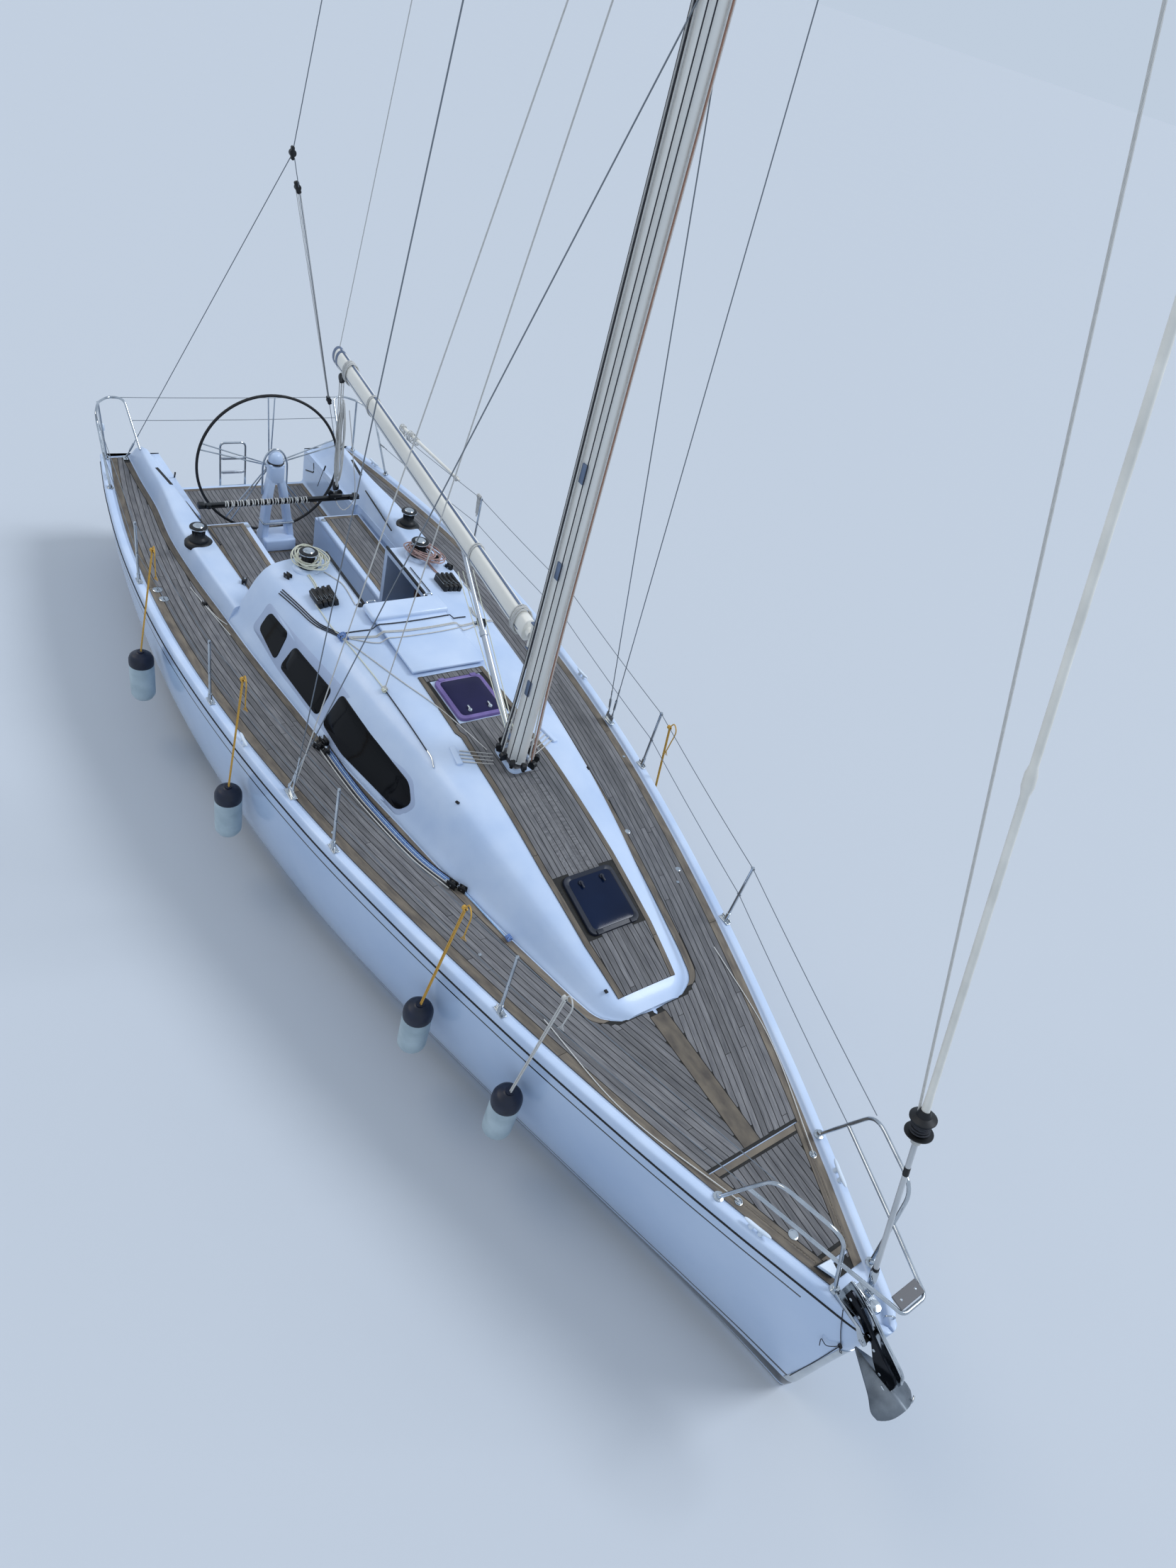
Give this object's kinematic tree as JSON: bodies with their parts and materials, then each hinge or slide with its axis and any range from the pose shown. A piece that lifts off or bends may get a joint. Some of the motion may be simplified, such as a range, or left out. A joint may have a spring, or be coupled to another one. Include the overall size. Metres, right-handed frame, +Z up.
{
  "type": "cruising sailing yacht",
  "caption": "Keeled sloop afloat at her berth: white hull with teak decks, wedge coachroof, open cockpit with wheel, bare mast and boom, furler, rails and fenders",
  "frame": {"origin": "amidships on the centreline, at the waterline she floats on", "axes": "+X forward to the bow, +Y to port, +Z up to the masthead"},
  "size_m": [11.442, 3.9212, 18.408],
  "materials": {
    "hull_gelcoat": "polished white gelcoat with dark stripes",
    "deck_gelcoat": "white gelcoat, satin on the walked faces",
    "teak": "weathered teak planks with black seams",
    "dark_acrylic": "smoked acrylic, near black",
    "hatch_frame": "mauve coated hatch frame round dark acrylic",
    "cast_keel": "faired cast iron under dark antifouling",
    "leg_paint": "grey painted alloy",
    "bronze": "dull bronze",
    "engine_paint": "grey enamel",
    "spar_alloy": "clear anodised aluminium",
    "rope": "braided polyester rope",
    "black_alloy": "black anodised alloy",
    "fender_vinyl": "pale inflated vinyl with dark ends",
    "stainless": "polished stainless steel"
  },
  "bodies": {
    "hull_body": {"hull": "hull_gelcoat", "deck": "deck_gelcoat", "coachroof": "deck_gelcoat", "window_aft_stbd": "dark_acrylic", "window_middle_stbd": "dark_acrylic", "window_fore_stbd": "dark_acrylic", "window_aft_port": "dark_acrylic", "window_middle_port": "dark_acrylic", "window_fore_port": "dark_acrylic", "teak_coachroof": "teak", "teak_deck": "teak", "coaming_stbd": "deck_gelcoat", "coaming_port": "deck_gelcoat", "teak_sole": "teak", "keel": "cast_keel", "saildrive_leg": "leg_paint", "engine": "engine_paint", "mast": "spar_alloy", "shrouds_stbd": "stainless", "shrouds_port": "stainless", "backstay": "stainless", "forestay_strut": "stainless", "traveller": "black_alloy", "mainsheet": "rope", "pedestal": "deck_gelcoat", "pulpit": "stainless", "bow_roller": "stainless", "anchor": "stainless", "stem_plate": "stainless", "pushpit_stbd": "stainless", "pushpit_port": "stainless", "guard_rail_stbd": "stainless", "guard_rail_port": "stainless", "fender_1": "fender_vinyl", "fender_2": "fender_vinyl", "fender_3": "fender_vinyl", "fender_4": "fender_vinyl", "fender_5": "fender_vinyl"},
    "rudder_body": {"rudder": "hull_gelcoat"},
    "wheel_body": {"wheel": "black_alloy"},
    "propeller_body": {"propeller": "bronze"},
    "boom_body": {"boom": "spar_alloy", "vang": "spar_alloy"},
    "furler_body": {"furler": "spar_alloy"},
    "hatch_fore_body": {"hatch_fore_lid": "dark_acrylic"},
    "hatch_mid_body": {"hatch_mid_lid": "hatch_frame"},
    "companionway_body": {"companionway_hatch": "deck_gelcoat"},
    "seat_lid_stbd_body": {"seat_locker_lid_stbd": "teak"},
    "seat_lid_port_body": {"seat_locker_lid_port": "teak"},
    "anchor_lid_body": {"anchor_locker_lid": "teak"},
    "ladder_body": {"swim_ladder": "stainless"},
    "winch_primary_stbd_body": {"winch_primary_stbd": "black_alloy"},
    "winch_primary_port_body": {"winch_primary_port": "black_alloy"},
    "winch_roof_stbd_body": {"winch_roof_stbd": "black_alloy"},
    "winch_roof_port_body": {"winch_roof_port": "black_alloy"}
  },
  "joints": [
    {"name": "rudder_turn", "type": "hinge", "parent": "hull_body", "child": "rudder_body", "pos_m": [-4.7, 0, 0], "axis": [0, 0, 1], "range_deg": [-35, 35]},
    {"name": "wheel_turn", "type": "hinge", "parent": "hull_body", "child": "wheel_body", "pos_m": [-4.375, 0, 1.55], "axis": [1, 0, 0], "range_deg": [-420, 420]},
    {"name": "propeller_spin", "type": "hinge", "parent": "hull_body", "child": "propeller_body", "pos_m": [-1.77, 0, -0.83], "axis": [1, 0, 0], "continuous": true},
    {"name": "boom_swing", "type": "hinge", "parent": "hull_body", "child": "boom_body", "pos_m": [0.8, 0, 2.93], "axis": [0, 0, 1], "range_deg": [-64, 76], "deforming": ["mainsheet"]},
    {"name": "furler_spin", "type": "hinge", "parent": "hull_body", "child": "furler_body", "pos_m": [4.90782, 0, 2.67623], "axis": [-0.3094, 0, 0.9509], "continuous": true},
    {"name": "hatch_fore_open", "type": "hinge", "parent": "hull_body", "child": "hatch_fore_body", "pos_m": [2.57, 0, 1.6], "axis": [0, 1, 0], "range_deg": [0, 80]},
    {"name": "hatch_mid_open", "type": "hinge", "parent": "hull_body", "child": "hatch_mid_body", "pos_m": [-0.04, 0, 1.895], "axis": [0, -1, 0], "range_deg": [0, 30]},
    {"name": "companionway_slide", "type": "slide", "parent": "hull_body", "child": "companionway_body", "axis": [-1, 0, 0], "range_m": [0, 0.94]},
    {"name": "seat_lid_stbd_open", "type": "hinge", "parent": "hull_body", "child": "seat_lid_stbd_body", "pos_m": [-3.06, -0.89, 1.15], "axis": [1, 0, 0], "range_deg": [0, 80]},
    {"name": "seat_lid_port_open", "type": "hinge", "parent": "hull_body", "child": "seat_lid_port_body", "pos_m": [-3.06, 0.89, 1.15], "axis": [-1, 0, 0], "range_deg": [0, 80]},
    {"name": "anchor_lid_open", "type": "hinge", "parent": "hull_body", "child": "anchor_lid_body", "pos_m": [4.29, 0, 1.376], "axis": [0, -1, 0], "range_deg": [0, 75]},
    {"name": "ladder_fold", "type": "hinge", "parent": "hull_body", "child": "ladder_body", "pos_m": [-5.56, 0, 0.66], "axis": [0, -1, 0], "range_deg": [0, 175]},
    {"name": "winch_primary_stbd_spin", "type": "hinge", "parent": "hull_body", "child": "winch_primary_stbd_body", "pos_m": [-3.2, -1.13, 1.45], "axis": [0, 0, 1], "continuous": true},
    {"name": "winch_primary_port_spin", "type": "hinge", "parent": "hull_body", "child": "winch_primary_port_body", "pos_m": [-3.2, 1.13, 1.45], "axis": [0, 0, 1], "continuous": true},
    {"name": "winch_roof_stbd_spin", "type": "hinge", "parent": "hull_body", "child": "winch_roof_stbd_body", "pos_m": [-1.9, -0.56, 1.9], "axis": [0, 0, 1], "continuous": true},
    {"name": "winch_roof_port_spin", "type": "hinge", "parent": "hull_body", "child": "winch_roof_port_body", "pos_m": [-1.9, 0.56, 1.9], "axis": [0, 0, 1], "continuous": true}
  ],
  "couplings": [
    {"joint": "wheel_turn", "follows": "rudder_turn", "ratio": 12}
  ]
}
